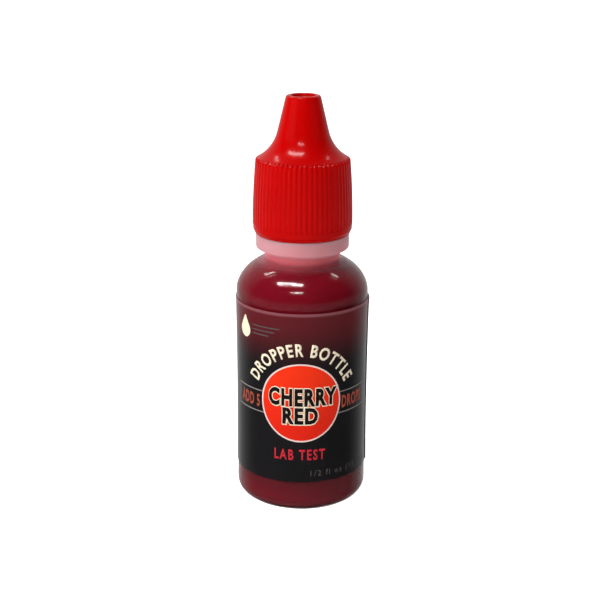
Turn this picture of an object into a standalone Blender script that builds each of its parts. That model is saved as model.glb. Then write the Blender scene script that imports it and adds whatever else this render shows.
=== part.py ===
"""A squeeze dropper bottle: blown bottle, liquid, wrapped label, pressed-in tip and screw cap.

It stands on its foot ring on the plane z = 0, with the bottle's axis along +Z. Sizes are in metres.
"""

from math import atan2, cos, degrees, pi, radians, sin, sqrt, tan

import bmesh
import bpy

# Blown bottle
BODY_RADIUS = 0.0125
WALL = 0.0011
SHOULDER_START = 0.0410  # height of the straight body's top
SHOULDER_RISE = 0.0073
SHOULDER_CENTRE = 0.0024  # distance from the axis to the middle of the shoulder's quarter ellipse
HEEL_RADIUS = 0.0025
WAIST_DEPTH = 0.00016  # how far the wall draws in, half way up, as it cools
FOOT_RING_WIDTH = 0.0022
PUSH_UP = 0.0010

# Neck, collar and finish
FINISH_RADIUS = 0.00655  # the thread's root on the neck
FINISH_WALL = 0.00155
FINISH_HEIGHT = 0.01035
NECK_STEP = 0.00057  # how far the neck below the collar stands out from the finish
NECK_HEIGHT = 0.0022
COLLAR_WIDTH = 0.00222
COLLAR_HEIGHT = 0.0024
COLLAR_UNDERCUT = 0.0009

# Thread, right-handed, twelve turns to the inch
PITCH = 0.0254 / 12
THREAD_DEPTH = 0.0006
THREAD_ROOT_WIDTH = 0.0010
THREAD_CREST_WIDTH = 0.0004
THREAD_TURNS = 1.5
THREAD_LEAD = 0.0036  # height of the neck thread's start above the collar

# Screw cap; its walls are measured from the skirt's inner face
LIP_WALL = 0.00147
BAND_WALL = 0.00182
SKIRT_WALL = 0.00189
SKIRT_TOP_WALL = 0.00134
BAND_HEIGHT = 0.00175
RIB_COUNT = 60
RIB_DEPTH = 0.00024
RIB_HEAD = 0.0026  # height of the ribs' top above the tip's flange
LEDGE_WIDTH = 0.00048
LEDGE_HEIGHT = 0.00030
SPIRE_RADIUS = 0.00474
SPIRE_FOOT = 0.0051  # height above the ribs at which the flare meets the straight spire
SPIRE_HEIGHT = 0.00655
SPIRE_TOP_RADIUS = 0.00316
SPIRE_EDGE = 0.00045
RIM_WIDTH = 0.00085
RECESS_DEPTH = 0.00080
CAP_WALL = 0.0013
CAP_ROOF = 0.0012
PIN_RADIUS = 0.00035

# Dropper tip
PLUG_LENGTH = 0.0058
PLUG_WALL = 0.0009
FLANGE_INSET = 0.00055
FLANGE_THICKNESS = 0.0009
NOZZLE_BASE_RADIUS = 0.0031
ORIFICE_RADIUS = 0.00045
ORIFICE_MOUTH_RADIUS = 0.00095
ORIFICE_MOUTH_DEPTH = 0.0006
ORIFICE_LENGTH = 0.0022

# Label and liquid
LABEL_HEEL_MARGIN = 0.0041  # bare wall between the heel and the label
LABEL_SHOULDER_MARGIN = 0.0010
LABEL_THICKNESS = 0.00012
LIQUID_RISE = 0.0006  # how far the liquid stands up into the neck

# Clearances
SEAT_GAP = 0.0003  # between faces that rest on each other
FIT_GAP = 0.00004  # between surfaces that share an axis
THREAD_GAP = 0.0003
NOZZLE_GAP = 0.0008

SEGMENTS = 48
RIB_STEPS = 4


def clear_scene():
    for obj in list(bpy.data.objects):
        bpy.data.objects.remove(obj)


def material(name, colour, roughness, alpha=1.0, transmission=0.0):
    made = bpy.data.materials.new(name)
    made.use_nodes = True
    shader = made.node_tree.nodes["Principled BSDF"]
    shader.inputs["Base Color"].default_value = (*colour, 1.0)
    shader.inputs["Metallic"].default_value = 0.0
    shader.inputs["Roughness"].default_value = roughness
    shader.inputs["Alpha"].default_value = alpha
    shader.inputs["Transmission Weight"].default_value = transmission
    return made


def finish_object(name, bm, surface):
    """A smooth-shaded object from a bmesh, with its faces turned outward."""
    bmesh.ops.recalc_face_normals(bm, faces=bm.faces)
    mesh = bpy.data.meshes.new(name)
    bm.to_mesh(mesh)
    bm.free()
    mesh.materials.append(surface)
    mesh.shade_smooth()
    mesh.set_sharp_from_angle(angle=radians(30))
    obj = bpy.data.objects.new(name, mesh)
    bpy.context.scene.collection.objects.link(obj)
    return obj


def quarter(centre, radii, start, end, steps):
    """Points (r, z) on an ellipse's arc; angles are in degrees from the +r direction."""
    points = []
    for step in range(steps + 1):
        angle = radians(start + (end - start) * step / steps)
        points.append((centre[0] + radii[0] * cos(angle), centre[1] + radii[1] * sin(angle)))
    return points


def turned(outline, segments=SEGMENTS):
    """Turns a closed outline of (r, z) points about the axis."""
    bm = bmesh.new()
    corners = [bm.verts.new((r, 0.0, z)) for r, z in outline]
    edges = [bm.edges.new(pair) for pair in zip(corners, corners[1:])]
    if outline[0][0] > 0.0:
        edges.append(bm.edges.new((corners[-1], corners[0])))
    bmesh.ops.spin(bm, geom=corners + edges, axis=(0, 0, 1), angle=2 * pi, steps=segments)
    bmesh.ops.remove_doubles(bm, verts=bm.verts, dist=1e-7)
    return bm


def add_ridge(obj, root, direction, start, name):
    """Joins a helical thread ridge to a wall. direction is +1 outward from the axis and -1 inward."""
    steps = round(THREAD_TURNS * SEGMENTS)
    run_out = SEGMENTS // 12
    bury = direction * THREAD_DEPTH / 4
    bm = bmesh.new()
    rings = []
    for step in range(steps + 1):
        angle = 2 * pi * step / SEGMENTS
        size = min(1.0, (min(step, steps - step) + 0.5) / run_out)
        height = direction * THREAD_DEPTH * size
        middle = start + PITCH * step / SEGMENTS
        half_root = THREAD_ROOT_WIDTH * size / 2
        half_crest = THREAD_CREST_WIDTH * size / 2
        section = (
            (root - bury, -half_root),
            (root + height, -half_crest),
            (root + height, half_crest),
            (root - bury, half_root),
        )
        rings.append([bm.verts.new((r * cos(angle), r * sin(angle), middle + z)) for r, z in section])
    for here, there in zip(rings, rings[1:]):
        for corner in range(len(here)):
            after = (corner + 1) % len(here)
            bm.faces.new((here[corner], here[after], there[after], there[corner]))
    bm.faces.new(rings[0])
    bm.faces.new(reversed(rings[-1]))
    ridge = finish_object(name, bm, obj.data.materials[0])
    ridge.hide_render = True
    ridge.display_type = "WIRE"
    join = obj.modifiers.new("thread", "BOOLEAN")
    join.operation = "UNION"
    join.object = ridge


def wall_radius(z):
    """The body's outer radius at a height: full at the heel and the shoulder, least half way up."""
    along = (z - HEEL_RADIUS) / (SHOULDER_START - HEEL_RADIUS)
    return BODY_RADIUS - WAIST_DEPTH * (1 - (2 * along - 1) ** 2)


def wall_points(bottom, top, steps, outward=0.0):
    """Points up the body's side from bottom to top, moved out by the given distance."""
    heights = [bottom + (top - bottom) * step / steps for step in range(steps + 1)]
    return [(wall_radius(z) + outward, z) for z in heights]


def shoulder_points(end_radius, inset, steps):
    """The quarter ellipse from the body's side up to end_radius, inset from the outer skin.

    It leaves out its first point, which ends the body's side.
    """
    reach = BODY_RADIUS - SHOULDER_CENTRE - inset
    end = degrees(atan2(sqrt(reach**2 - (end_radius - SHOULDER_CENTRE) ** 2), end_radius - SHOULDER_CENTRE))
    centre = (SHOULDER_CENTRE, SHOULDER_START)
    return quarter(centre, (reach, SHOULDER_RISE - inset), 0, end, steps)[1:]


def neck_radius():
    return FINISH_RADIUS + NECK_STEP


def bore_radius():
    return FINISH_RADIUS - FINISH_WALL


def neck_foot():
    return shoulder_points(neck_radius(), 0.0, 1)[0][1]


def collar_bottom():
    return neck_foot() + NECK_HEIGHT


def collar_top():
    return collar_bottom() + COLLAR_HEIGHT


def mouth():
    return collar_top() + FINISH_HEIGHT


def inside_points(inset, end_radius):
    """The inner surface, from the middle of the floor up to the bore, inset from the outer skin."""
    side = BODY_RADIUS - inset
    heel = max(HEEL_RADIUS - inset, HEEL_RADIUS / 3)
    foot_inner = BODY_RADIUS - HEEL_RADIUS - FOOT_RING_WIDTH
    floor = [(0.0, PUSH_UP + inset), (foot_inner - inset, PUSH_UP + inset)]
    corner = quarter((side - heel, inset + heel), (heel, heel), -90, 0, 3)
    wall = wall_points(inset + heel, SHOULDER_START, 4, -inset)[1:]
    return floor + corner + wall + shoulder_points(end_radius, inset, 4)


def make_bottle(surface):
    foot_outer = BODY_RADIUS - HEEL_RADIUS
    foot_inner = foot_outer - FOOT_RING_WIDTH
    collar_radius = FINISH_RADIUS + COLLAR_WIDTH
    outside = [(0.0, PUSH_UP), (foot_inner - PUSH_UP, PUSH_UP), (foot_inner, 0.0)]
    outside += quarter((foot_outer, HEEL_RADIUS), (HEEL_RADIUS, HEEL_RADIUS), -90, 0, 4)
    outside += wall_points(HEEL_RADIUS, SHOULDER_START, 4)[1:]
    outside += shoulder_points(neck_radius(), 0.0, 6)
    neck = [
        (neck_radius(), collar_bottom() - COLLAR_UNDERCUT),
        (collar_radius, collar_bottom()),
        (collar_radius, collar_top()),
        (FINISH_RADIUS, collar_top()),
        (FINISH_RADIUS, mouth()),
        (bore_radius(), mouth()),
    ]
    inside = inside_points(WALL, bore_radius())
    bottle = finish_object("bottle", turned(outside + neck + inside[::-1]), surface)
    add_ridge(bottle, FINISH_RADIUS, 1, collar_top() + THREAD_LEAD, "neck_thread")


def make_liquid(surface):
    radius = bore_radius() - FIT_GAP
    level = neck_foot() + LIQUID_RISE
    outline = inside_points(WALL + FIT_GAP, radius) + [(radius, level), (0.0, level)]
    finish_object("liquid", turned(outline), surface)


def make_label(surface):
    """A sheet once round the body. Its free end laps over its start, at the +X side."""
    bottom = HEEL_RADIUS + LABEL_HEEL_MARGIN
    rows = wall_points(bottom, SHOULDER_START - LABEL_SHOULDER_MARGIN, 4)
    lift = LABEL_THICKNESS + FIT_GAP
    bm = bmesh.new()
    sheet = []
    for column in range(-1, SEGMENTS + 1):
        angle = 2 * pi * column / SEGMENTS
        outward = FIT_GAP + (lift if column < 1 else 0.0)
        inner = [(r + outward, z) for r, z in rows]
        outer = [(r + outward + LABEL_THICKNESS, z) for r, z in rows]
        loop = inner + outer[::-1]
        sheet.append([bm.verts.new((r * cos(angle), r * sin(angle), z)) for r, z in loop])
    for here, there in zip(sheet, sheet[1:]):
        for corner in range(len(here)):
            after = (corner + 1) % len(here)
            bm.faces.new((here[corner], there[corner], there[after], here[after]))
    half = len(rows)
    for edge in (sheet[0], sheet[-1]):
        for row in range(half - 1):
            bm.faces.new((edge[row], edge[row + 1], edge[-2 - row], edge[-1 - row]))
    finish_object("label", bm, surface)


def flange_bottom():
    return mouth() + SEAT_GAP


def flange_top():
    return flange_bottom() + FLANGE_THICKNESS


def make_tip(surface):
    """A plug in the neck's bore, a flange on the mouth, and a nozzle with a fine orifice."""
    plug = bore_radius() - FIT_GAP
    flange = FINISH_RADIUS - FLANGE_INSET
    plug_bottom = mouth() - PLUG_LENGTH
    top = nozzle_top()
    top_radius = spire_inner_radius(top) - NOZZLE_GAP
    edge = PLUG_WALL / 4
    outline = [
        (plug - PLUG_WALL, plug_bottom),
        (plug - edge, plug_bottom),
        (plug, plug_bottom + PLUG_WALL),
        (plug, flange_bottom()),
        (flange, flange_bottom()),
        (flange, flange_top()),
        (NOZZLE_BASE_RADIUS, flange_top()),
        (top_radius, top - edge),
        (top_radius - edge, top),
        (ORIFICE_MOUTH_RADIUS, top),
        (ORIFICE_RADIUS, top - ORIFICE_MOUTH_DEPTH),
        (ORIFICE_RADIUS, top - ORIFICE_LENGTH),
        (NOZZLE_BASE_RADIUS - PLUG_WALL, flange_bottom()),
    ]
    finish_object("dropper_tip", turned(outline), surface)


def cap_bottom():
    return collar_top() + SEAT_GAP


def rib_top():
    return flange_top() + RIB_HEAD


def spire_foot():
    return rib_top() + SPIRE_FOOT


def cap_top():
    return spire_foot() + SPIRE_HEIGHT


def cap_ceiling():
    return cap_top() - RECESS_DEPTH - CAP_ROOF


def nozzle_top():
    return cap_ceiling() - 2 * SEAT_GAP


def spire_slope():
    """The straight spire's angle from the axis."""
    return atan2(SPIRE_RADIUS - SPIRE_TOP_RADIUS, SPIRE_HEIGHT)


def spire_inner_radius(z):
    slope = spire_slope()
    return SPIRE_RADIUS - (z - spire_foot()) * tan(slope) - CAP_WALL / cos(slope)


def skirt_inner_radius():
    """The neck's ridge runs inside this face with a gap, and so does the cap's ridge at its root."""
    return FINISH_RADIUS + THREAD_DEPTH + THREAD_GAP


def skirt_radius(z):
    """The ribs' outer radius: the mould's draft grows towards the top of the skirt."""
    foot = cap_bottom() + BAND_HEIGHT
    along = (z - foot) / (rib_top() - foot)
    return skirt_inner_radius() + SKIRT_WALL - (SKIRT_WALL - SKIRT_TOP_WALL) * along**2


def flare():
    """(centre, radius) of the arc that leaves the spire with its slope and ends on the ledge."""
    slope = spire_slope()
    across = skirt_radius(rib_top()) - LEDGE_WIDTH - SPIRE_RADIUS
    down = rib_top() + LEDGE_HEIGHT - spire_foot()
    radius = (across**2 + down**2) / (2 * (across * cos(slope) + down * sin(slope)))
    return (SPIRE_RADIUS + radius * cos(slope), spire_foot() + radius * sin(slope)), radius


def flare_points(depth, end_radius, steps):
    """The flare at a depth under its outer face, from end_radius up to the spire."""
    centre, radius = flare()
    radius += depth
    across = centre[0] - end_radius
    start = degrees(atan2(-sqrt(radius**2 - across**2), -across)) + 360
    return quarter(centre, (radius, radius), start, 180 + degrees(spire_slope()), steps)


def ring(bm, r, z, ribbed=False):
    """One ring of the cap. A ribbed ring has a narrow groove between round-topped ribs."""
    count = RIB_COUNT * (RIB_STEPS if ribbed else 1)
    corners = []
    for step in range(count):
        angle = 2 * pi * step / count
        into = RIB_DEPTH * (1 - sin(pi * (step % RIB_STEPS) / RIB_STEPS)) if ribbed else 0.0
        corners.append(bm.verts.new(((r - into) * cos(angle), (r - into) * sin(angle), z)))
    return corners


def join_rings(bm, lower, upper):
    """Faces between two rings, where one may have a whole number of times the other's corners."""
    faces = min(len(lower), len(upper))
    for face in range(faces):
        sides = []
        for loop in (lower, upper):
            each = len(loop) // faces
            sides.append([loop[(face * each + step) % len(loop)] for step in range(each + 1)])
        bm.faces.new(sides[0] + sides[1][::-1])


def cap_outside():
    """Rows (r, z, ribbed) from the skirt's inner edge, round the lip and up to the recess's floor."""
    inner = skirt_inner_radius()
    bottom = cap_bottom()
    lip_step = (BAND_WALL - LIP_WALL) / 3
    rows = [
        (inner, bottom, False),
        (inner + LIP_WALL - lip_step, bottom, False),
        (inner + LIP_WALL, bottom + lip_step, False),
        (inner + LIP_WALL + lip_step, bottom + 4 * lip_step, False),
        (inner + BAND_WALL, bottom + BAND_HEIGHT / 2, False),
        (inner + BAND_WALL, bottom + BAND_HEIGHT, False),
    ]
    rib_foot = bottom + BAND_HEIGHT + RIB_DEPTH
    rib_length = rib_top() - RIB_DEPTH - rib_foot
    for share in (0, 1 / 2, 1):
        z = rib_foot + rib_length * share
        rows.append((skirt_radius(z), z, True))
    ledge = skirt_radius(rib_top())
    rows.append((ledge - RIB_DEPTH, rib_top() + LEDGE_HEIGHT / 2, False))
    rows += [(r, z, False) for r, z in flare_points(0.0, ledge - LEDGE_WIDTH, 5)]
    top = cap_top()
    recess = SPIRE_TOP_RADIUS - RIM_WIDTH
    rows += [
        (SPIRE_TOP_RADIUS + SPIRE_EDGE * tan(spire_slope()), top - SPIRE_EDGE, False),
        (SPIRE_TOP_RADIUS - SPIRE_EDGE / 4, top - SPIRE_EDGE / 4, False),
        (SPIRE_TOP_RADIUS - SPIRE_EDGE, top, False),
        (recess, top, False),
        (recess - RECESS_DEPTH / 4, top - RECESS_DEPTH, False),
    ]
    return rows


def cap_inside():
    """Rows (r, z) up the inside, from the top of the skirt's inner face to the end of the pin."""
    rows = flare_points(CAP_WALL, skirt_inner_radius(), 4)
    rows.append((spire_inner_radius(cap_ceiling()), cap_ceiling()))
    rows.append((2 * PIN_RADIUS, cap_ceiling()))
    rows.append((PIN_RADIUS, nozzle_top() - ORIFICE_MOUTH_DEPTH / 2))
    return rows


def make_cap(surface):
    bm = bmesh.new()
    outside = [ring(bm, *row) for row in cap_outside()]
    inside = outside[:1] + [ring(bm, *row) for row in cap_inside()]
    for rings in (outside, inside):
        for lower, upper in zip(rings, rings[1:]):
            join_rings(bm, lower, upper)
        bm.faces.new(rings[-1])
    cap = finish_object("cap", bm, surface)
    start = collar_top() + THREAD_LEAD - PITCH / 2
    add_ridge(cap, skirt_inner_radius(), -1, start, "cap_thread")


def main():
    clear_scene()
    natural = material("natural_ldpe", (0.80, 0.78, 0.76), 0.35, alpha=0.45, transmission=0.5)
    make_bottle(natural)
    make_liquid(material("red_liquid", (0.09, 0.004, 0.012), 0.05, alpha=0.9))
    make_label(material("black_label", (0.012, 0.011, 0.012), 0.35))
    make_tip(material("tip_ldpe", (0.82, 0.80, 0.78), 0.4, alpha=0.7, transmission=0.3))
    make_cap(material("red_cap", (0.52, 0.003, 0.003), 0.28))


main()
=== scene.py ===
# %% [markdown]
# # A squeeze dropper bottle
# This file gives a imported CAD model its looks. The model comes in as a fixed frame of five solids:
# a blown bottle, the liquid in it, a wrapped label, a pressed-in dropper tip and a ribbed screw cap.
# Each solid is stood for here by a finer surface with a real finish. Shapes are worked out in
# millimetres and turned into metres when their mesh is made. Finishes, lamps and the stage are
# written in metres, as Object coordinates are.

from math import atan2, cos, pi, radians, sin, sqrt, tan

import bpy
import numpy as np
from mathutils import Matrix, Vector


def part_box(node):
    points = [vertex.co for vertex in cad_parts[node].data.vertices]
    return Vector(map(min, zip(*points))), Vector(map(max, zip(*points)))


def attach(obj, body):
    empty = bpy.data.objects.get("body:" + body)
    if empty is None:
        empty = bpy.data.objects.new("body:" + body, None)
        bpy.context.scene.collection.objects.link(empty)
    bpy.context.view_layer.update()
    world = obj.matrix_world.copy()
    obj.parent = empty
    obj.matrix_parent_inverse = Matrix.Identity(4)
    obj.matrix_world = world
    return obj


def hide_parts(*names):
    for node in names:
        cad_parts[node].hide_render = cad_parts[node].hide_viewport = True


MM = 0.001

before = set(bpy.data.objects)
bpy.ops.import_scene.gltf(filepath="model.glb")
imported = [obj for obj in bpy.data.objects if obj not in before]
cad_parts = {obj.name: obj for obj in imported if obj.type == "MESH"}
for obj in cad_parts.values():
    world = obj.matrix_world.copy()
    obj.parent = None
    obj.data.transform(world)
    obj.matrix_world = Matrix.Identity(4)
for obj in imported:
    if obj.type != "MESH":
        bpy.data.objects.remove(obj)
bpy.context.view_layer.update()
print("nodes:", sorted(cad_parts))

# %% [markdown]
# ## Sizes
# The heights and radii that pieces share are read from the boxes of the CAD nodes, so the finer
# surfaces land exactly where the solids are. What a box can't tell, such as the width of the foot
# ring, is a plain number here.

# %% Sizes
def span(node):
    """(lowest z, highest z, widest radius in Y) of a CAD node, in millimetres."""
    low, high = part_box(node)
    return low.z / MM, high.z / MM, high.y / MM


_, mouth, body_radius = span("bottle")
cap_low, cap_high, _ = span("cap")
tip_low, tip_high, tip_radius = span("dropper_tip")
label_low, label_high, _ = span("label")
_, liquid_high, liquid_radius = span("liquid")
print(f"body radius {body_radius:.2f}, mouth at {mouth:.2f}, cap {cap_low:.2f} to {cap_high:.2f}")

# %% [markdown]
# ## Surfaces
# Nearly everything on this bottle is turned about one axis: it was blown, moulded or pressed round.
# A turned surface is a grid of points. The rows run along the outline and the columns run round the
# axis. The whole grid is worked out at once with numpy, and where the outline touches the axis, the
# points that fall together are merged, which closes the pole.

# %% Grid to mesh
def mesh_from_grid(name, grid, round_rows=False, round_columns=True, unit=MM):
    """Mesh of a grid of points, shaped (rows, columns, 3), times the unit.

    Point (i, j) is joined to (i + 1, j) and (i, j + 1). A round direction joins its end to its start.
    """
    rows, columns = grid.shape[:2]
    index = np.arange(rows * columns).reshape(rows, columns)
    if round_rows:
        index = np.vstack([index, index[:1]])
    if round_columns:
        index = np.hstack([index, index[:, :1]])
    corners = [index[:-1, :-1], index[:-1, 1:], index[1:, 1:], index[1:, :-1]]
    quads = np.stack(corners, -1).reshape(-1, 4)
    mesh = bpy.data.meshes.new(name)
    mesh.from_pydata((grid.reshape(-1, 3) * unit).tolist(), [], quads.tolist())
    return mesh


def points_of(mesh):
    """The mesh's points as an array with one row (x, y, z) for each."""
    points = np.empty(len(mesh.vertices) * 3)
    mesh.vertices.foreach_get("co", points)
    return points.reshape(-1, 3)


# %% Mesh to object
import bmesh

WELD = 2e-7  # metres: points nearer than this become one


def piece(name, mesh, edge_angle=40):
    """Object from a mesh: meeting points merged, faces turned outward, shaded smooth up to an angle."""
    bm = bmesh.new()
    bm.from_mesh(mesh)
    bmesh.ops.remove_doubles(bm, verts=bm.verts, dist=WELD)
    bmesh.ops.dissolve_degenerate(bm, edges=bm.edges, dist=WELD)
    bmesh.ops.recalc_face_normals(bm, faces=bm.faces)
    open_edges = sum(1 for edge in bm.edges if not edge.is_manifold)
    bm.to_mesh(mesh)
    triangles = sum(len(face.verts) - 2 for face in bm.faces)
    bm.free()
    mesh.shade_smooth()
    mesh.set_sharp_from_angle(angle=radians(edge_angle))
    made = bpy.data.objects.new(name, mesh)
    bpy.context.scene.collection.objects.link(made)
    print(f"{name}: {triangles} triangles, {open_edges} open edges")
    return made


# %% Outlines
def arc(centre, radii, start, end, steps):
    """Points (r, z) on an ellipse: centre plus radii times (cosine, sine) of angles in degrees."""
    angle = np.radians(np.linspace(start, end, steps + 1))
    return np.stack([centre[0] + radii[0] * np.cos(angle), centre[1] + radii[1] * np.sin(angle)], -1)


def eased(corners, steps=4):
    """Outline through corners (r, z, ease), where each corner with an ease is cut back by that
    length on both sides and bridged by a parabola, the curve (1-t)^2 a + 2t(1-t) corner + t^2 b."""
    points = np.array([corner[:2] for corner in corners], float)
    line = [points[:1]]
    t = np.linspace(0, 1, steps + 1)[:, None]
    for before, here, after, corner in zip(points, points[1:], points[2:], corners[1:]):
        if len(corner) == 2:
            line.append(here[None])
            continue
        a = here + (before - here) * corner[2] / np.linalg.norm(before - here)
        b = here + (after - here) * corner[2] / np.linalg.norm(after - here)
        line.append((1 - t) ** 2 * a + 2 * t * (1 - t) * here + t**2 * b)
    return np.vstack(line + [points[-1:]])


def spin(outline, angles):
    """Grid of points: each outline point (r, z) carried round the axis to every angle."""
    r, z = outline[:, :1], outline[:, 1:]
    heights = np.broadcast_to(z, (len(r), len(angles)))
    return np.stack([r * np.cos(angles), r * np.sin(angles), heights], -1)


def turns(columns):
    """Evenly spaced angles once round, in radians."""
    return np.linspace(0, 2 * pi, columns, endpoint=False)


def upright(radius, rows):
    """Outline of a straight upright wall, with a point at each of the heights in rows."""
    return np.stack([np.full(len(rows), radius), rows], -1)


def smooth(share):
    """The smooth step 3t^2 - 2t^3 of a share t, which is held between 0 and 1."""
    t = np.clip(share, 0, 1)
    return t**2 * (3 - 2 * t)


def push_out(grid, radius, grow):
    """Moves each point of a turned grid away from the axis by its own amount, grow."""
    grid[..., :2] *= (1 + grow / np.maximum(radius, 1.0))[..., None]


# %% [markdown]
# ## Camera
# The bottle is seen from a little above. The lens is long, so its sides stay nearly parallel. The
# camera rolls by a third of a degree, which gives the bottle a very slight lean. There is no shift
# and no depth of field.

# %% Camera
CAMERA_PLACE = (-0.395, -226.3, 110.54)
CAMERA_DOWN = 17.59  # degrees below the horizon
CAMERA_ROLL = 0.344  # degrees
SENSOR = 36.0
LENS = 74.574

camera_data = bpy.data.cameras.new("camera")
camera_data.sensor_width = SENSOR
camera_data.lens = LENS
camera_data.clip_start = 0.01
camera = bpy.data.objects.new("camera", camera_data)
tilt = Matrix.Rotation(radians(90 - CAMERA_DOWN), 4, "X")
roll = Matrix.Rotation(radians(CAMERA_ROLL), 4, "Z")
camera.matrix_world = Matrix.Translation(Vector(CAMERA_PLACE) * MM) @ tilt @ roll
bpy.context.scene.collection.objects.link(camera)
bpy.context.scene.camera = camera
print(f"lens {camera_data.lens:.1f} mm")

# %% [markdown]
# ## Shader sums
# A finish is a small network of nodes. Written as plain Python, a sum such as
# `0.07 + 0.06 * cloud` is easy to read, so a Wire wraps one output socket and each operator on it
# adds a Math node. Everything else comes from one method, `add`.

# %% Wire
class Wire:
    """An output socket that can stand in a sum: each operator adds a Math node behind it."""

    def __init__(self, sheet, socket):
        self.sheet = sheet
        self.socket = socket

    def math(self, operation, *terms, clamp=False):
        """One Math node on the terms, which are Wires or numbers."""
        settings = {"operation": operation, "use_clamp": clamp}
        return self.sheet.add("ShaderNodeMath", settings, dict(enumerate(terms)))[0]

    def __add__(self, other):
        return self.math("ADD", self, other)

    def __sub__(self, other):
        return self.math("SUBTRACT", self, other)

    def __rsub__(self, other):
        return self.math("SUBTRACT", other, self)

    def __mul__(self, other):
        return self.math("MULTIPLY", self, other)

    __radd__ = __add__
    __rmul__ = __mul__

    def clamped(self):
        """Held between 0 and 1."""
        return self.math("ADD", self, 0.0, clamp=True)

    def eased(self, low, high):
        """Rises smoothly from 0 at low to 1 at high."""
        settings = {"interpolation_type": "SMOOTHSTEP"}
        values = {"Value": self, "From Min": low, "From Max": high}
        return self.sheet.add("ShaderNodeMapRange", settings, values)["Result"]


# %% Made
class Made:
    """A node that add() made. Its outputs are read by name or number, as Wires."""

    def __init__(self, sheet, node):
        self.sheet = sheet
        self.node = node

    def __getitem__(self, key):
        return Wire(self.sheet, self.node.outputs[key])


# %% Sheet
class Sheet:
    """The node tree of one material, with its Principled shader."""

    def __init__(self, name, **constants):
        self.material = bpy.data.materials.new(name)
        self.material.use_nodes = True
        self.tree = self.material.node_tree
        self.shader = self.tree.nodes["Principled BSDF"]
        self.own = Wire(self, self.shader.outputs["BSDF"])
        self.output = self.tree.nodes["Material Output"]
        for key, value in constants.items():
            self.shader.inputs[key.replace("_", " ")].default_value = value

    def feed(self, socket, value):
        """Links a Wire to the socket, or sets the socket to a number or a colour."""
        if isinstance(value, Wire):
            self.tree.links.new(value.socket, socket)
        elif isinstance(value, tuple) and len(value) == 3 and socket.type == "RGBA":
            socket.default_value = (*value, 1.0)
        else:
            socket.default_value = value

    def add(self, kind, settings=None, values=None):
        """A node of the given type: its settings first, then the values or Wires of its sockets."""
        node = self.tree.nodes.new(kind)
        for key, value in (settings or {}).items():
            setattr(node, key, value)
        for key, value in (values or {}).items():
            self.feed(node.inputs[key], value)
        return Made(self, node)

    def mix(self, factor, first, second):
        """A colour between two: the first at factor 0 and the second at factor 1."""
        values = {0: factor, 6: first, 7: second}
        return self.add("ShaderNodeMix", {"data_type": "RGBA"}, values)[2]

    def mix_shader(self, factor, first, second):
        """A shader between two: the first at factor 0 and the second at factor 1."""
        return self.add("ShaderNodeMixShader", None, {0: factor, 1: first, 2: second})[0]

    def place(self):
        """Object coordinates, in metres: the whole vector, and the height alone."""
        vector = self.add("ShaderNodeTexCoord")["Object"]
        return vector, self.add("ShaderNodeSeparateXYZ", None, {"Vector": vector})["Z"]

    def noise(self, vector, scale, detail=2.0, roughness=0.5):
        """Smooth noise about 0.5, with scale lumps to a metre."""
        values = {"Vector": vector, "Scale": scale, "Detail": detail, "Roughness": roughness}
        return self.add("ShaderNodeTexNoise", None, values)[0]

    def bump(self, height, distance):
        """Feeds a Bump node into Normal. The height runs 0 to 1 and distance is in metres."""
        values = {"Height": height, "Distance": distance}
        self.feed(self.shader.inputs["Normal"], self.add("ShaderNodeBump", None, values)["Normal"])

    def surface(self, **wires):
        """Feeds the Principled shader's sockets, named with _ for a space, and gives the material."""
        for key, value in wires.items():
            self.feed(self.shader.inputs[key.replace("_", " ")], value)
        return self.material


# %% [markdown]
# ## Bottle
# The real bottle is blown from natural low-density polyethylene inside a two-part mould. It could be
# cut from a cylinder with modifiers, but a turned outline gives full control of the parts that show:
# the soft heel, the wall that draws in a little as it cools, the oval shoulder, and the solid collar
# under the cap. A faint ridge is left on both sides where the halves of the mould met.

# %% Bottle outline
HEEL = 2.5
FOOT_RING = 2.2
PUSH_UP = 1.0
WAIST = 0.16
SHOULDER_START = 41.0
SHOULDER_RISE = 7.3
SHOULDER_CENTRE = 2.4
NECK_RADIUS = 7.12
BORE = 5.0
FINISH = 6.55  # radius of the threaded wall
COLLAR = 8.77
COLLAR_FOOT = 49.65
COLLAR_TOP = 52.05
COLLAR_RIM = 52.23  # the moulded rim stands a little proud, which closes the gap under the cap
COLLAR_UNDERCUT = 0.9
THREAD_FOOT = COLLAR_TOP + 3.0  # the thread lies between these two heights
THREAD_HEAD = COLLAR_TOP + 8.0
WALL = 1.1


def wall_radius(z):
    """The body's radius: a parabola that is WAIST less half way up than at the heel and shoulder."""
    along = (z - HEEL) / (SHOULDER_START - HEEL)
    return body_radius - WAIST * (1 - (2 * along - 1) ** 2)


def side(bottom, top, steps, outward=0.0):
    """Outline of the body's wall between two heights, moved outward by that much."""
    z = np.linspace(bottom, top, steps + 1)
    return np.stack([wall_radius(z) + outward, z], -1)


def shoulder(end_radius, inset, steps):
    """The shoulder's quarter ellipse, inset from the outer skin, up to where it is end_radius wide."""
    reach = body_radius - SHOULDER_CENTRE - inset
    out = end_radius - SHOULDER_CENTRE
    end = np.degrees(np.arctan2(sqrt(reach**2 - out**2), out))
    return arc((SHOULDER_CENTRE, SHOULDER_START), (reach, SHOULDER_RISE - inset), 0, end, steps)


def inner_skin(inset, end_radius, steps):
    """The bottle's inner face from the middle of the floor to the bore, inset from the outer skin."""
    edge = body_radius - inset
    heel = HEEL - inset
    ring = body_radius - HEEL - FOOT_RING - inset
    floor = np.array([(0, PUSH_UP + inset), (ring / 2, PUSH_UP + inset), (ring, PUSH_UP + inset)])
    corner = arc((edge - heel, inset + heel), (heel, heel), -90, 0, steps)
    wall = side(inset + heel, SHOULDER_START, 2 * steps, -inset)[1:]
    return np.vstack([floor, corner, wall, shoulder(end_radius, inset, 2 * steps)[1:]])


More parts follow.
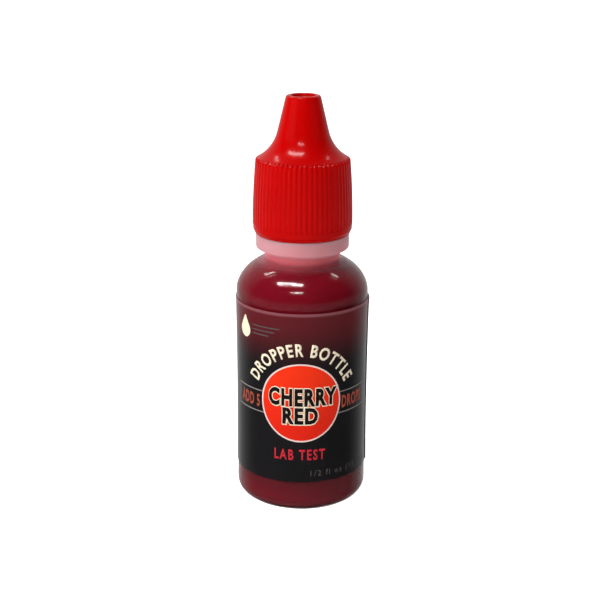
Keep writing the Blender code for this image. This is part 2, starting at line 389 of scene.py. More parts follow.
foot = body_radius - HEEL
ring_edge = foot - FOOT_RING
neck_foot = shoulder(NECK_RADIUS, 0.0, 1)[-1, 1]
base = eased([(0, PUSH_UP), (ring_edge - PUSH_UP, PUSH_UP, 0.5), (ring_edge, 0, 0.4), (foot, 0)])
heel_line = arc((foot, HEEL), (HEEL, HEEL), -90, 0, 14)
shoulder_line = shoulder(NECK_RADIUS, 0.0, 26)
neck_line = eased(
    [
        tuple(shoulder_line[-2]),
        (NECK_RADIUS, neck_foot, 0.28),
        (NECK_RADIUS, COLLAR_FOOT - COLLAR_UNDERCUT, 0.15),
        (COLLAR, COLLAR_FOOT, 0.16),
        (COLLAR, COLLAR_RIM, 0.14),
        (FINISH, COLLAR_RIM, 0.12),
        (FINISH, THREAD_FOOT),
    ]
)
print(f"neck foot at {neck_foot:.2f}")

# %% [markdown]
# The thread is a raised ridge that climbs once and a half round the neck, twelve turns to the inch.
# It is a height added to the radius on a fine grid: for each point, the distance to the ridge's
# middle at that angle gives how much of the trapezoid's height it has. A smooth step rounds its edges.

# %% Thread
PITCH = 25.4 / 12
THREAD_DEPTH = 0.6
THREAD_TURNS = 1.5
THREAD_LEAD = 3.6  # height of the ridge's start above the collar
HALF_RIDGE = 0.55  # half the ridge's width at its foot
FLANK = 0.32  # the width of each of its slopes
RUN_OUT = 0.08  # turns over which the ridge's ends fade


def thread_height(angles, z, start):
    """0 to 1 over a grid of angles and heights: a helix of trapezoid section, with faded ends."""
    share = np.zeros(np.broadcast_shapes(angles.shape, z.shape))
    for lap in range(2):
        turn = angles / (2 * pi) + lap
        away = np.abs(z - start - PITCH * turn)
        ends = np.clip(np.minimum(turn, THREAD_TURNS - turn) / RUN_OUT, 0, 1)
        share = np.maximum(share, smooth((HALF_RIDGE - away) / FLANK) * ends)
    return share


# %% Bottle grid
SAME = 0.01  # radii nearer than this are the same wall
SEAM_HEIGHT = 0.035
SEAM_WIDTH = 0.1


def from_seam(angles):
    """Angle from the nearer of the two mould seams, which lie at 0 and at half a turn."""
    return np.abs((angles + pi / 2) % pi - pi / 2)


even = turns(192)
close = np.radians([-2.0, -1.2, -0.8, -0.4, 0.0, 0.4, 0.8, 1.2, 2.0])
clear = from_seam(even) > radians(2.6)
bottle_angles = np.sort(np.concatenate([even[clear], close % (2 * pi), close + pi]))

thread_line = upright(FINISH, np.linspace(THREAD_FOOT, THREAD_HEAD, 52))
lip_line = eased([(FINISH, THREAD_HEAD + 0.2), (FINISH, mouth, 0.2), (BORE, mouth, 0.2), (BORE, mouth - 6.0)])
body_line = np.vstack([base[:-1], heel_line, side(HEEL, SHOULDER_START, 24)[1:-1], shoulder_line[:-2]])
outside_line = np.vstack([body_line, neck_line[1:], thread_line[1:], lip_line])
bottle_line = np.vstack([outside_line, inner_skin(WALL, BORE, 8)[::-1]])
bottle_grid = spin(bottle_line, bottle_angles)
print("bottle grid:", bottle_grid.shape[:2])

# %% Bottle thread and seam
outer = (np.arange(len(bottle_line)) < len(outside_line))[:, None]
radius, height = bottle_line[:, :1], bottle_line[:, 1:]
threaded = outer & (np.abs(radius - FINISH) < SAME) & (height > COLLAR_TOP + 2.0)
grow = THREAD_DEPTH * thread_height(bottle_angles, height, COLLAR_TOP + THREAD_LEAD) * threaded
moulded = outer & (radius > NECK_RADIUS - 0.1) & (height > 0.5) & (height < COLLAR_TOP - 0.1)
seam = np.exp(-((from_seam(bottle_angles) * radius / SEAM_WIDTH) ** 2))
push_out(bottle_grid, radius, grow + SEAM_HEIGHT * seam * moulded)
bottle = piece("bottle_wall", mesh_from_grid("bottle_wall", bottle_grid), 50)

# %% [markdown]
# ## Liquid
# The liquid fills the bottle to just inside the neck. It wets the wall, and light goes straight from
# plastic to liquid with no air between. A renderer only shows that if the two surfaces don't leave
# an air gap, so the liquid's skin reaches a hair's breadth into the wall. Its top is drawn up where
# it wets the bore, so the free surface is a shallow dish.

# %% Liquid mesh
WETTING = 0.02  # how far the liquid's skin reaches into the wall
DISH = 0.35  # how much lower the free surface is in the middle than at the wall
DISH_REACH = 0.9  # distance from the wall over which most of that drop happens
bore_side = BORE + WETTING
out = np.linspace(bore_side, 0.0, 14)
dish = np.stack([out, liquid_high - DISH * (1 - np.exp(-(bore_side - out) / DISH_REACH))], -1)
liquid_line = np.vstack([inner_skin(WALL - WETTING, bore_side, 8), dish])
liquid = piece("liquid_fill", mesh_from_grid("liquid_fill", spin(liquid_line, turns(144))), 60)
print(f"liquid up to {liquid_high:.2f}, radius {liquid_radius:.2f}")

# %% [markdown]
# ## Dropper tip
# A soft plug is pressed into the neck. Its flange lies just above the mouth, and a nozzle rises
# inside the cap, with a fine orifice that meters the drops. It could be a cone joined to two discs,
# but one closed outline, turned, keeps every corner eased. The nozzle's width is read from the CAD
# solid's own points.

# %% Tip mesh
FLANGE = 6.0
FLANGE_STEP = 1.04  # how far the flange stands out past the plug
PLUG_BORE = 4.06
ORIFICE = 0.45
HEAD_EDGE = 0.22  # before it is eased, the nozzle's top corner lies this far outside its flat top
FLANGE_LOW = mouth + 0.3
FLANGE_HIGH = FLANGE_LOW + 0.9
NOZZLE_FOOT = 3.1
plug = tip_radius - FLANGE_STEP
tip_points = points_of(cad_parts["dropper_tip"].data) / MM
tip_top = tip_points[tip_points[:, 2] > tip_high - 0.01]
head_radius = float(np.hypot(tip_top[:, 0], tip_top[:, 1]).max()) + HEAD_EDGE
tip_line = eased(
    [
        (PLUG_BORE, tip_low),
        (4.5, tip_low, 0.1),
        (plug, tip_low + 0.9, 0.2),
        (plug, FLANGE_LOW, 0.05),
        (FLANGE, FLANGE_LOW, 0.1),
        (FLANGE, FLANGE_HIGH, 0.2),
        (NOZZLE_FOOT, FLANGE_HIGH, 0.4),
        (head_radius, tip_high, 0.25),
        (0.95, tip_high, 0.1),
        (ORIFICE, tip_high - 0.6, 0.1),
        (ORIFICE, tip_high - 2.2, 0.3),
        (2.2, FLANGE_LOW, 0.5),
        (PLUG_BORE, tip_low),
    ],
    5,
)
tip_grid = spin(tip_line[:-1], turns(96))
tip = piece("dropper_tip_plug", mesh_from_grid("dropper_tip_plug", tip_grid, round_rows=True))
print(f"nozzle head radius {head_radius:.2f}")

# %% [markdown]
# ## Cap
# The red polypropylene cap has sixty ribs for the thumb, a plain band with a thin lip under them, and
# a hollow spire that flares out to a narrow ledge. Each rib ends in a rounded tooth on the ledge.
# Sixty small solids could be joined to a plain cap, but here the grooves are a wave taken off the
# radius. The wave fades out at the band and deepens between the teeth, so ribs, ledge and flare are
# one closed skin.

# %% Cap outline
RIBS = 60
RIB_DEPTH = 0.11  # the grooves are shallow and rounded, and catch little light
SKIRT_BORE = 7.45
LIP = 8.92
BAND = 9.27
BAND_HEIGHT = 1.75
SKIRT_FOOT_RADIUS = 9.34
SKIRT_HEAD_RADIUS = 8.79
RIB_FOOT = cap_low + BAND_HEIGHT
RIB_TOP = FLANGE_HIGH + 2.6
LEDGE = 8.31
LEDGE_TOP = RIB_TOP + 0.30
SPIRE_FOOT = RIB_TOP + 5.1
SPIRE_RADIUS = 4.74
SPIRE_HEAD = 3.16
RIM = 0.85
RECESS = 0.80
CAP_WALL = 1.3
ROOF = 1.2
slope = atan2(SPIRE_RADIUS - SPIRE_HEAD, cap_high - SPIRE_FOOT)


def skirt_radius(z):
    """The ribs' outer radius: the mould's draft grows as the square of the height."""
    along = np.clip((z - RIB_FOOT) / (RIB_TOP - RIB_FOOT), 0, 1)
    return SKIRT_FOOT_RADIUS - (SKIRT_FOOT_RADIUS - SKIRT_HEAD_RADIUS) * along**2


def flare(depth, end_radius, steps):
    """The arc that leaves the spire along its slope and lands on the ledge, at a depth under the skin."""
    across = LEDGE - SPIRE_RADIUS
    down = LEDGE_TOP - SPIRE_FOOT
    size = (across**2 + down**2) / (2 * (across * cos(slope) + down * sin(slope)))
    centre = (SPIRE_RADIUS + size * cos(slope), SPIRE_FOOT + size * sin(slope))
    size += depth
    out = centre[0] - end_radius
    start = np.degrees(atan2(-sqrt(size**2 - out**2), -out)) + 360
    return arc(centre, (size, size), start, 180 + np.degrees(slope), steps)


spire_line = eased(
    [
        (SPIRE_RADIUS - 0.05 * tan(slope), SPIRE_FOOT + 0.05),
        (SPIRE_RADIUS - 3.0 * tan(slope), SPIRE_FOOT + 3.0),
        (SPIRE_HEAD, cap_high, 0.42),
        (SPIRE_HEAD - RIM, cap_high, 0.16),
        (SPIRE_HEAD - RIM - 0.25, cap_high - RECESS, 0.3),
        (0.0, cap_high - RECESS),
    ],
    6,
)
print(f"spire from {SPIRE_FOOT:.2f} to {cap_high:.2f}, slope {np.degrees(slope):.1f} degrees")

# %% Cap outer skin
band_line = eased(
    [
        (SKIRT_BORE, cap_low),
        (LIP, cap_low, 0.12),
        (LIP + 0.12, cap_low + 0.47, 0.1),
        (BAND, cap_low + 0.75, 0.2),
        (BAND, RIB_FOOT),
    ]
)
foot_rows = RIB_FOOT + np.array([0.02, 0.08, 0.16, 0.26, 0.40])
middle_rows = np.linspace(RIB_FOOT + 0.8, RIB_TOP - 0.8, 14)
head_rows = RIB_TOP - np.array([0.5, 0.3, 0.18, 0.08, 0.02])
rib_rows = np.concatenate([foot_rows, middle_rows, head_rows])
rib_line = np.stack([skirt_radius(rib_rows), rib_rows], -1)
ledge_line = np.array(
    [
        (SKIRT_HEAD_RADIUS - 0.13, RIB_TOP + 0.10),
        (SKIRT_HEAD_RADIUS - 0.24, RIB_TOP + 0.17),
        (LEDGE + 0.08, RIB_TOP + 0.25),
    ]
)
cap_outer = np.vstack([band_line, rib_line, ledge_line, flare(0.0, LEDGE, 18), spire_line])
print(f"{RIBS} ribs from {RIB_FOOT:.2f} to {RIB_TOP:.2f}, ledge at {LEDGE_TOP:.2f}")

# %% Cap inner skin
inner_flare = flare(CAP_WALL, SKIRT_BORE, 10)
ceiling = cap_high - RECESS - ROOF
inner_spire = SPIRE_RADIUS - (ceiling - SPIRE_FOOT) * tan(slope) - CAP_WALL / cos(slope)
entry_rows = np.linspace(cap_low + 0.15, cap_low + 1.9, 4)
thread_rows = np.linspace(cap_low + 2.0, cap_low + 7.2, 50)
skirt_line = upright(SKIRT_BORE, np.concatenate([entry_rows, thread_rows]))
pin_foot = ceiling - 0.9  # the pin that seals the nozzle's orifice hangs from the ceiling
roof_line = eased(
    [
        tuple(inner_flare[-1]),
        (inner_spire, ceiling, 0.2),
        (0.7, ceiling, 0.1),
        (0.35, pin_foot, 0.1),
        (0.0, pin_foot),
    ]
)
cap_inner = np.vstack([skirt_line, inner_flare, roof_line[1:]])
print(f"ceiling at {ceiling:.2f}, {inner_spire:.2f} wide")

# %% Cap ribs and thread
FOOT_FADE = 0.22  # heights over which the grooves start and end
HEAD_FADE = 0.30
TOOTH_HEIGHT = 0.6
TOOTH_DEPTH = 0.30
GROOVE_POWER = 1.6  # over 1, the grooves are narrower than the ribs between them
cap_line = np.vstack([cap_outer[::-1], cap_inner])
cap_angles = turns(RIBS * 8)
cap_grid = spin(cap_line, cap_angles)
radius, height = cap_line[:, :1], cap_line[:, 1:]
outside = (np.arange(len(cap_line)) < len(cap_outer))[:, None]
skirt = outside & (radius > LEDGE)
groove = (0.5 + 0.5 * np.cos(cap_angles * RIBS)) ** GROOVE_POWER
rise = np.clip((height - RIB_FOOT) / FOOT_FADE, 0, 1)
fall = np.clip((RIB_TOP + 0.02 - height) / HEAD_FADE, 0, 1) ** 0.5
ribs = RIB_DEPTH * groove * rise * fall * (skirt & (height > RIB_FOOT))
climb = np.clip((height - RIB_TOP + TOOTH_HEIGHT) / TOOTH_HEIGHT, 0, 1) ** 2
teeth = climb * TOOTH_DEPTH * groove * (skirt & (height > RIB_TOP - TOOTH_HEIGHT))
ridge = THREAD_DEPTH * thread_height(cap_angles, height, COLLAR_TOP + THREAD_LEAD - PITCH / 2)
inward = ribs + teeth + ridge * (~outside & (np.abs(radius - SKIRT_BORE) < SAME))
push_out(cap_grid, radius, -inward)
cap = piece("screw_cap", mesh_from_grid("screw_cap", cap_grid), 35)

# %% [markdown]
# ## Label
# The label is one sheet of printed film once round the body, and its end laps over its start at the
# right side. A sheet on a grid of angle and height could be a plane with a bend modifier, but a
# direct formula lets the lapped end lift by its own thickness and lets its upper corner curl away.

# %% Label mesh
FILM = 0.12
WALL_GAP = 0.04
LAP = radians(7.5)
CURL = 0.12  # how far the lapped end's upper corner stands off
CURL_HEIGHT = 1.6
CURL_START = radians(2)


def on_label(s, z, above):
    """Points on the label: s millimetres to the right of the front, at height z, above its face."""
    radius = wall_radius(z) + WALL_GAP + FILM + above
    angle = s / (wall_radius(z) + WALL_GAP + FILM) - pi / 2
    return np.stack([radius * np.cos(angle), radius * np.sin(angle), z], -1)


lap_angles = np.concatenate([np.linspace(-LAP, LAP, 25), np.linspace(LAP, 2 * pi, 240)[1:]])
label_rows = side(label_low, label_high, 30)
lift = (FILM + WALL_GAP) * smooth((LAP - lap_angles) / LAP)
near_end = np.clip((-CURL_START - lap_angles) / (LAP - CURL_START), 0, 1) ** 2
near_top = np.clip((label_rows[:, 1] - label_high + CURL_HEIGHT) / CURL_HEIGHT, 0, 1) ** 2
inner_face = label_rows[:, :1] + WALL_GAP + lift[None] + CURL * near_top[:, None] * near_end[None]


def label_face(reach):
    """Grid of points of one face of the film, where reach is its radius at each row and angle."""
    z = np.broadcast_to(label_rows[:, 1:], reach.shape)
    return np.stack([reach * np.cos(lap_angles), reach * np.sin(lap_angles), z], -1)


label_grid = np.vstack([label_face(inner_face), label_face(inner_face + FILM)[::-1]])
label_mesh = mesh_from_grid("label_film", label_grid, round_rows=True, round_columns=False)
label = piece("label_film", label_mesh, 45)

# %% [markdown]
# The grid gives both faces of the sheet and its upper and lower edges. The two upright ends are still
# open, so each is closed with one face.

# %% Label ends
def close_ends(made):
    """Fills the two open ends of the sheet with one face each."""
    bm = bmesh.new()
    bm.from_mesh(made.data)
    rim = [edge for edge in bm.edges if edge.is_boundary]
    filled = bmesh.ops.holes_fill(bm, edges=rim, sides=0)
    bmesh.ops.triangulate(bm, faces=filled["faces"])
    bmesh.ops.recalc_face_normals(bm, faces=bm.faces)
    bm.to_mesh(made.data)
    still_open = sum(edge.is_boundary for edge in bm.edges)
    print(f"{made.name}: {len(filled['faces'])} ends closed, {still_open} open edges left")
    bm.free()


close_ends(label)

# %% [markdown]
# ## Print
# Ink sits on the film as raised coats, each about a hundredth of a millimetre thick. A texture would
# need an image, so each printed shape is a thin solid of its own: a flat outline in (s, z), cut into
# narrow strips so that it can bend, and then carried onto the label by the same formula as the film.

# %% Bend flat shapes onto the label
INK = 0.012
STRIP = 0.45  # widest strip that still looks round


def wrap(name, flat, above):
    """Turns a flat mesh in the (s, z) plane, in millimetres, into a thin closed coat on the label."""
    s = points_of(flat)[:, 0]
    bm = bmesh.new()
    bm.from_mesh(flat)
    bmesh.ops.remove_doubles(bm, verts=bm.verts, dist=1e-5)
    for cut in np.arange(np.floor(s.min() / STRIP) * STRIP, s.max(), STRIP):
        everything = bm.verts[:] + bm.edges[:] + bm.faces[:]
        bmesh.ops.bisect_plane(bm, geom=everything, dist=1e-6, plane_co=(cut, 0, 0), plane_no=(1, 0, 0))
    bmesh.ops.triangulate(bm, faces=bm.faces)
    bm.to_mesh(flat)
    bm.free()
    points = points_of(flat)
    top = on_label(points[:, 0], points[:, 1], above)
    flat.vertices.foreach_set("co", (top * MM).ravel())
    bm = bmesh.new()
    bm.from_mesh(flat)
    bmesh.ops.recalc_face_normals(bm, faces=bm.faces)
    level = Vector((1, 1, 0))
    facing = [face.normal.dot(face.calc_center_median() * level) * face.calc_area() for face in bm.faces]
    if sum(facing) < 0:
        bmesh.ops.reverse_faces(bm, faces=bm.faces)
    bm.to_mesh(flat)
    bm.free()
    flat.name = name
    made = bpy.data.objects.new(name, flat)
    bpy.context.scene.collection.objects.link(made)
    coat = made.modifiers.new("coat", "SOLIDIFY")
    coat.thickness = INK * MM
    coat.offset = -1.0
    print(f"{name}: {len(flat.polygons)} faces")
    return made


# %% Flat shapes
def ring_shape(centre, inner, outer):
    """A flat ring, or a disc when inner is 0, as a grid of radius and angle."""
    radii = np.linspace(inner, outer, 14 if inner == 0 else 2)[:, None]
    angle = turns(96)
    s = centre[0] + radii * np.cos(angle)
    z = centre[1] + radii * np.sin(angle)
    return mesh_from_grid("flat", np.stack([s, z, 0 * s], -1), unit=1)


def bar_shape(bars):
    """Flat rectangles (low s, high s, low z, high z) as one mesh."""
    corners = np.array([[(a, c, 0), (b, c, 0), (b, d, 0), (a, d, 0)] for a, b, c, d in bars], float)
    mesh = bpy.data.meshes.new("flat")
    faces = np.arange(4 * len(bars)).reshape(-1, 4)
    mesh.from_pydata(corners.reshape(-1, 3).tolist(), [], faces.tolist())
    return mesh


def letters(text, bold, spacing):
    """A word as a flat mesh in the font's own unit, and its points as an array."""
    curve = bpy.data.curves.new("word", "FONT")
    curve.body = text
    curve.offset = bold
    curve.space_character = spacing
    curve.resolution_u = 3
    holder = bpy.data.objects.new("word", curve)
    bpy.context.scene.collection.objects.link(holder)
    bpy.context.view_layer.update()
    mesh = bpy.data.meshes.new_from_object(holder)
    bpy.data.objects.remove(holder)
    bpy.data.curves.remove(curve)
    return mesh, points_of(mesh)


def word_shape(text, centre, tall, wide, bold=0.03, spacing=1.15, edge=0.0, radius=None):
    """A word as a flat mesh, tall and wide in millimetres, with its middle at the centre.

    With an edge, every stroke grows outward by that much, which makes an outline to lay under the
    word. With a radius, the baseline bends into the top of a circle of that radius round the centre.
    """
    mesh, points = letters(text, bold, spacing)
    low, high = points.min(0), points.max(0)
    scale = np.array([wide / (high[0] - low[0]), tall / (high[1] - low[1]), 0.0])
    middle = (low + high) / 2
    if edge:
        mesh, points = letters(text, bold + edge / scale[1], spacing)
    points = (points - middle) * scale
    if radius is None:
        points[:, :2] += centre
    else:
        angle = points[:, 0] / (radius + tall / 2)
        reach = radius + tall / 2 + points[:, 1]
        points[:, 0] = centre[0] + reach * np.sin(angle)
        points[:, 1] = centre[1] + reach * np.cos(angle)
    mesh.vertices.foreach_set("co", points.ravel())
    return mesh


# %% [markdown]
# The label's print is plain: an arc of words over a disc with two more words, a box at each side, one
# line under it and the volume. Coats that overlap lie at different heights above the film.

# %% Place the print
DISC = (-0.1, 22.6)
ON_FILM = 0.014  # height of a coat's face above the film
UNDER_WORDS = 0.0135
BOX = (19.85, 24.25)
THIN = 0.2
coats = {}


def lay(name, shape, above=ON_FILM):
    """Wraps a flat shape onto the label as the piece print_NAME, and keeps it under its name."""
    coats[name] = wrap("print_" + name, shape, above)


lay("disc_rim", ring_shape(DISC, 7.4, 7.8), 0.016)
lay("disc", ring_shape(DISC, 0, 7.5), 0.018)
lay("arc_words", word_shape("DROPPER BOTTLE", DISC, 2.55, 25.0, 0.028, 1.25, radius=9.2))
for line, text, middle, tall, wide in (
    (1, "CHERRY", (0.25, 23.75), 3.6, 13.2),
    (2, "RED", (-0.25, 20.05), 3.3, 6.7),
):
    under = (middle[0] + 0.05, middle[1] - 0.03)
    lay(f"word_{line}_outline", word_shape(text, under, tall, wide, 0.045, edge=0.2), 0.034)
    lay(f"word_{line}", word_shape(text, middle, tall, wide, 0.045), 0.050)
low, high = BOX
for name, near, far in (("left", -7.4, -14.9), ("right", 7.3, 14.8)):
    a, b = sorted((near, far))
    end = (far, far + THIN) if far < 0 else (far - THIN, far)
    bars = [(a, b, high - THIN, high), (a, b, low, low + THIN), (*end, low, high)]
    lay("box_" + name, bar_shape(bars), UNDER_WORDS)
lay("word_add", word_shape("ADD 5", (-11.1, 22.05), 2.5, 5.3))
lay("word_drops", word_shape("DROPS", (10.9, 22.05), 2.5, 5.6))
lay("word_test", word_shape("LAB TEST", (-0.3, 12.2), 2.2, 9.8, 0.025, 1.25))
lay("word_volume", word_shape("1/2 fl oz (15 mL)", (8.6, 8.2), 1.5, 13.6, 0.0, 1.3))

# %% [markdown]
# A small mark stands in the upper left of the label. It is a plain drop with three thin rules beside
# it, and no name. The drop's outline is a circle whose upper half is drawn to a point.

# %% Drop mark
def drop_shape(centre, size):
    """A drop: radius size round the centre, where the top is pulled up by the cube of the cosine."""
    angle = turns(48)
    pull = np.clip(np.cos(angle), 0, 1) ** 3
    share = np.linspace(0, 1, 6)[:, None]
    s = centre[0] + share * size * np.sin(angle) * (1 - 0.55 * pull)
    z = centre[1] + share * size * (np.cos(angle) + 0.9 * pull)
    return mesh_from_grid("flat", np.stack([s, z, 0 * s], -1), unit=1)


lay("drop", drop_shape((-12.4, 35.4), 1.5))
rules = [(-10.2, -4.2, 36.75, 36.95), (-10.2, -5.2, 35.95, 36.15), (-10.2, -6.4, 35.15, 35.35)]
lay("rules", bar_shape(rules), UNDER_WORDS)

# %% [markdown]
# ## Finishes
# ### Natural polyethylene
# Low-density polyethylene is clear enough to see the liquid through, a little milky, and waxy to the
# touch. Where it is thick, in the neck and the collar, it scatters more light. The rose cast that the
# red liquid and cap throw into it there is painted light: it is painted into the milky shader's colour,
# deep red just above the liquid and paler higher up. So a clear shader and a milky one are mixed by
# height. A little sheen pales the wall where it turns away. A clear wall would still throw a full
# shadow on what is behind it, so a Light Path switch lets shadow rays through where the plastic is clear.

# %% Bottle finish
sheet = Sheet(
    "natural_polyethylene",
    Transmission_Weight=1.0,
    IOR=1.45,
    Specular_IOR_Level=0.5,
    Sheen_Weight=0.15,
    Sheen_Roughness=0.25,
)
vector, z = sheet.place()
sheet.bump(sheet.noise(vector, 420.0, 3.0), 0.00006)
sheet.surface(
    Base_Color=sheet.mix(sheet.noise(vector, 160.0, 2.0), (0.96, 0.90, 0.91), (0.90, 0.82, 0.83)),
    Roughness=0.07 + 0.06 * sheet.noise(vector, 700.0, 3.0),
)
# Painted light: the red glow of the liquid and cap, painted into the milky colour. It is deep red on the
# neck, rose on the collar and nearly white on the threaded finish.
painted_red_cast = sheet.mix(z.eased(0.0475, 0.0502), (0.98, 0.20, 0.24), (0.74, 0.36, 0.39))
painted_red_cast = sheet.mix(z.eased(0.0515, 0.0550), painted_red_cast, (0.80, 0.74, 0.73))
milky = {
    "Base Color": painted_red_cast,
    "Roughness": 0.3,
    "Subsurface Weight": 1.0,
    "Subsurface Radius": (1.0, 0.30, 0.30),
    "Subsurface Scale": 0.0025,
    "Specular IOR Level": 0.3,
}
milk = sheet.add("ShaderNodeBsdfPrincipled", None, milky)["BSDF"]
thickness = 0.003 + 0.72 * z.eased(0.0464, 0.0482)
body = sheet.mix_shader(thickness, sheet.own, milk)
shadow = sheet.add("ShaderNodeLightPath")["Is Shadow Ray"]
see_through = sheet.add("ShaderNodeBsdfTransparent", None, {"Color": (0.92, 0.80, 0.81)})[0]
switch = sheet.mix_shader(shadow * (1 - thickness), body, see_through)
sheet.feed(sheet.output.inputs["Surface"], switch)
bottle.data.materials.append(sheet.material)
print("finish:", sheet.material.name)

# %% [markdown]
# ### Red liquid
# The liquid is dyed so dark that light goes in only a few millimetres. A solid dark red with a wet
# surface gives that look without the cost of a real volume, and slow swirls keep it from being flat.

# %% Liquid finish
sheet = Sheet("red_dyed_liquid", IOR=1.33, Specular_IOR_Level=0.3)
vector, _ = sheet.place()
swirl = sheet.noise(vector, 90.0, 3.0)
sheet.surface(
    Base_Color=sheet.mix(swirl, (0.125, 0.0025, 0.0085), (0.160, 0.0040, 0.0120)),
    Roughness=0.06 + 0.05 * swirl,
)
liquid.data.materials.append(sheet.material)
print("finish:", sheet.material.name)

# %% [markdown]
# ### Cap and tip
# The cap is polypropylene in a strong red, moulded against a fine spark-eroded surface, so it has a
# soft gloss and a tiny grain. A thin coat gives the clear highlights, and the colour drifts slowly
# between two reds. The tip is the same natural plastic as the bottle, thicker and so milkier.

# %% Cap finish
sheet = Sheet(
    "red_polypropylene",
    IOR=1.49,
    Specular_IOR_Level=0.02,
    Coat_Weight=0.42,
    Coat_Roughness=0.15,
    Coat_IOR=1.45,
)
vector, _ = sheet.place()
grain = sheet.noise(vector, 5200.0, 2.0)
cloud = sheet.noise(vector, 210.0, 3.0)
sheet.bump(grain, 0.000012)
sheet.surface(
    Base_Color=sheet.mix(cloud, (0.41, 0.0002, 0.0002), (0.47, 0.0006, 0.0005)),
    Roughness=0.34 + 0.10 * cloud,
)
cap.data.materials.append(sheet.material)
print("finish:", sheet.material.name)

# %% Tip finish
sheet = Sheet("tip_polyethylene", IOR=1.51, Subsurface_Weight=0.5, Subsurface_Scale=0.001)
vector, _ = sheet.place()
cloud = sheet.noise(vector, 400.0, 3.0)
sheet.bump(sheet.noise(vector, 900.0, 2.0), 0.00003)
sheet.surface(
    Base_Color=sheet.mix(cloud, (0.80, 0.76, 0.74), (0.86, 0.83, 0.81)),
    Roughness=0.32 + 0.12 * cloud,
)
tip.data.materials.append(sheet.material)
print("finish:", sheet.material.name)

# %% [markdown]
# ### Label film and inks
# The film's black ink is thin at the top, where the red liquid still shows, and solid from the
# middle down. Real layers of thin ink would need a clear film, so here the colour itself eases from
# black to dark red over height. A pale line along the cut upper edge is a painted highlight, where
# that edge catches the light. The inks on it are nearly matt and slightly uneven, as screen print is.

# %% Label finish
sheet = Sheet(
    "black_label_film",
    IOR=1.46,
    Specular_IOR_Level=0.45,
    Sheen_Weight=0.2,
    Sheen_Roughness=0.25,
)
vector, z = sheet.place()
speck = sheet.noise(vector, 1800.0, 1.0)
cloud = sheet.noise(vector, 120.0, 2.0)
black = sheet.mix(cloud, (0.0075, 0.0070, 0.0080), (0.0110, 0.0100, 0.0112))
fade = z.eased(0.0285, 0.0390) + (cloud - 0.5) * 0.05
tinted = sheet.mix(fade.clamped(), black, (0.110, 0.0070, 0.0110))
specked = sheet.mix(speck * 0.05, tinted, (0.03, 0.028, 0.03))
# Painted highlight: a pale rosy line along the film's cut top edge, where it catches the light
painted_edge_highlight = z.eased(0.0393, 0.0397)
sheet.bump(sheet.noise(vector, 260.0, 2.0), 0.00002)
sheet.surface(
    Base_Color=sheet.mix(0.6 * painted_edge_highlight, specked, (0.30, 0.10, 0.12)),
    Roughness=0.27 + 0.04 * speck,
)
label.data.materials.append(sheet.material)
print("finish:", sheet.material.name)


# %% Inks
def ink(name, light, dark, upper=None, lower=None):
    """A printed coat whose colour drifts between two. With heights given it goes from light at upper to dark
    at lower, which paints shade as well as a change of hue.
    """
    sheet = Sheet(name, IOR=1.46, Specular_IOR_Level=0.08)
    vector, z = sheet.place()
    speck = sheet.noise(vector, 2400.0, 3.0, 0.6)
    if upper is None:
        colour = sheet.mix(speck, dark, light)
    else:
        colour = sheet.mix((z.eased(lower, upper) * 0.9 + speck * 0.1).clamped(), dark, light)
    sheet.bump(speck, 0.000006)
    return sheet.surface(Base_Color=colour, Roughness=0.36 + 0.15 * speck)


cream = ink("cream_ink", (0.88, 0.80, 0.62), (0.70, 0.60, 0.42))
pale = ink("pale_ink", (0.85, 0.70, 0.66), (0.62, 0.42, 0.38))
# The disc is lighter at its top and darker and redder at its foot. This is partly the ink's own change of hue
# and partly painted shade for light that falls from above.
orange = ink("orange_ink_painted_shade", (0.78, 0.030, 0.005), (0.64, 0.014, 0.004), 0.0300, 0.0150)
black_ink = ink("black_ink", (0.014, 0.009, 0.009), (0.007, 0.005, 0.005))
crimson = ink("crimson_ink", (0.62, 0.030, 0.045), (0.42, 0.012, 0.022))
brown = ink("brown_ink", (0.42, 0.085, 0.045), (0.28, 0.050, 0.028))
dim_grey = ink("dim_grey_ink", (0.11, 0.10, 0.10), (0.06, 0.055, 0.055))
grey = ink("grey_ink", (0.30, 0.27, 0.25), (0.17, 0.15, 0.14))
inks = {
    "disc_rim": pale,
    "disc": orange,
    "arc_words": cream,
    "word_1_outline": cream,
    "word_1": black_ink,
    "word_2_outline": cream,
    "word_2": black_ink,
    "box_left": grey,
    "box_right": grey,
    "word_add": brown,
    "word_drops": brown,
    "word_test": crimson,
    "word_volume": dim_grey,
    "drop": cream,
    "rules": dim_grey,
}
for name, made in coats.items():
    made.data.materials.append(inks[name])
print(f"{len(coats)} printed pieces, {len(set(inks.values()))} inks")

# %% [markdown]
# ## Stage
# The floor is plain and white, and wide enough to reach the horizon. A floor that bright would shine
# through the clear plastic and veil the dark red and the black. So it is bright to the camera alone,
# dim to every other ray, and left out of reflections.

# %% Floor
REACH = 6.0  # metres from the middle to an edge
SUNK = 0.00002  # metres, so that the foot ring doesn't lie in the same plane
corners = [(-REACH, -REACH, 0), (REACH, -REACH, 0), (REACH, REACH, 0), (-REACH, REACH, 0)]
floor_mesh = bpy.data.meshes.new("floor")
floor_mesh.from_pydata(corners, [], [(0, 1, 2, 3)])
floor = bpy.data.objects.new("floor", floor_mesh)
floor.location.z = -SUNK
floor.visible_glossy = False
bpy.context.scene.collection.objects.link(floor)
print("floor reaches", REACH, "m")

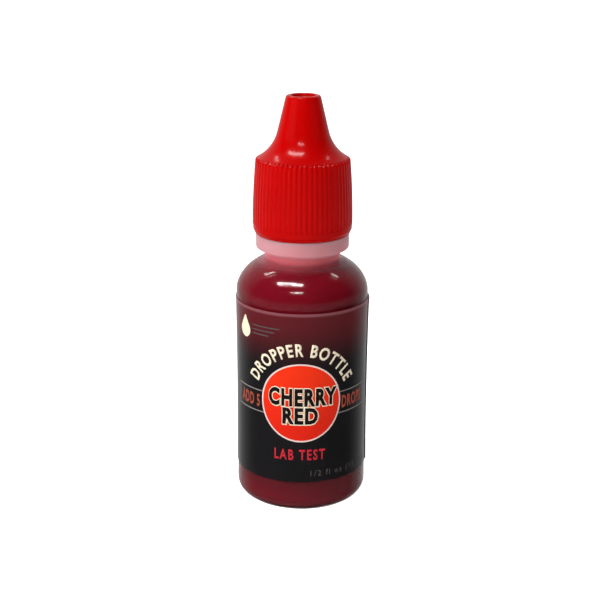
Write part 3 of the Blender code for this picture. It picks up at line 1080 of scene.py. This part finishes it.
# %% Floor finish
sheet = Sheet("white_floor", Roughness=1.0, Specular_IOR_Level=0.0, Emission_Strength=1.05)
vector, _ = sheet.place()
white = sheet.mix(sheet.noise(vector, 3.0, 2.0), (0.90, 0.90, 0.90), (0.93, 0.93, 0.93))
sheet.surface(Base_Color=white, Emission_Color=white)
faint = {"Base Color": white, "Emission Color": white, "Emission Strength": 0.26, "Roughness": 1.0}
dim = sheet.add("ShaderNodeBsdfPrincipled", None, faint)["BSDF"]
to_camera = sheet.add("ShaderNodeLightPath")["Is Camera Ray"]
sheet.feed(sheet.output.inputs["Surface"], sheet.mix_shader(to_camera, dim, sheet.own))
sheet.material.cycles.emission_sampling = "NONE"  # the floor's glow is too wide and faint to aim at
floor_mesh.materials.append(sheet.material)
print("finish:", sheet.material.name)

# %% [markdown]
# The room is white to the camera. Nearly all the light that it gives comes from behind the bottle
# and grows towards the back, which draws the pale rims down both sides of the wall and the label.

# %% World
world = bpy.data.worlds.new("studio")
world.use_nodes = True
bpy.context.scene.world = world
bpy.context.scene.view_settings.view_transform = "Standard"
tree = world.node_tree
backdrop = tree.nodes["Background"]
backdrop.inputs["Color"].default_value = (1.0, 1.0, 1.0, 1.0)
direction = tree.nodes.new("ShaderNodeTexCoord")
parts = tree.nodes.new("ShaderNodeSeparateXYZ")
tree.links.new(direction.outputs["Generated"], parts.inputs[0])
back = tree.nodes.new("ShaderNodeMapRange")
for key, value in {"From Min": 0.1, "From Max": 1.0, "To Min": 0.01, "To Max": 0.7}.items():
    back.inputs[key].default_value = value
tree.links.new(parts.outputs["Y"], back.inputs["Value"])
seen = tree.nodes.new("ShaderNodeLightPath")
pick = tree.nodes.new("ShaderNodeMix")
tree.links.new(seen.outputs["Is Camera Ray"], pick.inputs["Factor"])
tree.links.new(back.outputs["Result"], pick.inputs["A"])
pick.inputs["B"].default_value = 1.0
tree.links.new(pick.outputs["Result"], backdrop.inputs["Strength"])
print("world: white to the camera, lit from behind")

# %% [markdown]
# Four small softboxes above the bottle make the highlights: each lies where the shoulder or the
# cap's flare mirrors it to the camera. Two wide ones at the sides only give light, and are left out
# of reflections, because the glossy cap would show them as pale bands.

# %% Lamps
AIM = (0, 0, 0.045)


def softbox(name, way, distance, width, depth, power, along=(1, 0, 0), mirrored=True):
    """An area light at a distance in the direction way from a point in the bottle, facing it.

    Its width is laid as near as can be along the direction given. All lengths are in metres.
    """
    data = bpy.data.lights.new(name, "AREA")
    data.shape = "RECTANGLE"
    data.size, data.size_y = width, depth
    data.energy = power
    lamp = bpy.data.objects.new(name, data)
    aim = Vector(AIM)
    lamp.location = aim + Vector(way).normalized() * distance
    backward = (lamp.location - aim).normalized()
    across = (Vector(along) - backward * backward.dot(Vector(along))).normalized()
    lamp.rotation_euler = Matrix((across, backward.cross(across), backward)).transposed().to_euler()
    lamp.visible_glossy = mirrored
    lamp.visible_transmission = mirrored
    lamp.visible_camera = False
    bpy.context.scene.collection.objects.link(lamp)
    return lamp


softbox("overhead", (-0.28, -0.29, 0.91), 0.6, 0.38, 0.085, 2.5, along=(-0.90, 0.36, -0.2))
softbox("front_top", (-0.13, -0.72, 0.66), 0.6, 0.18, 0.045, 0.6)
softbox("back_left", (-0.52, 0.37, 0.77), 0.6, 0.13, 0.045, 0.26)
softbox("back_right", (0.55, 0.30, 0.78), 0.6, 0.09, 0.03, 0.11)
softbox("left", (-0.85, -0.50, 0.25), 0.8, 0.6, 0.6, 4.2, mirrored=False)
softbox("right", (0.85, -0.45, 0.20), 0.8, 0.6, 0.6, 0.7, mirrored=False)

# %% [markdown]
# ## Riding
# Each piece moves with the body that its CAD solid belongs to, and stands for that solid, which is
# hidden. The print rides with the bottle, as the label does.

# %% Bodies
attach(bottle, "bottle")
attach(liquid, "bottle")
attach(label, "bottle")
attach(tip, "tip")
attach(cap, "cap")
for made in coats.values():
    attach(made, "bottle")
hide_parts("bottle")
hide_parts("liquid")
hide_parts("label")
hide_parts("dropper_tip")
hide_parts("cap")
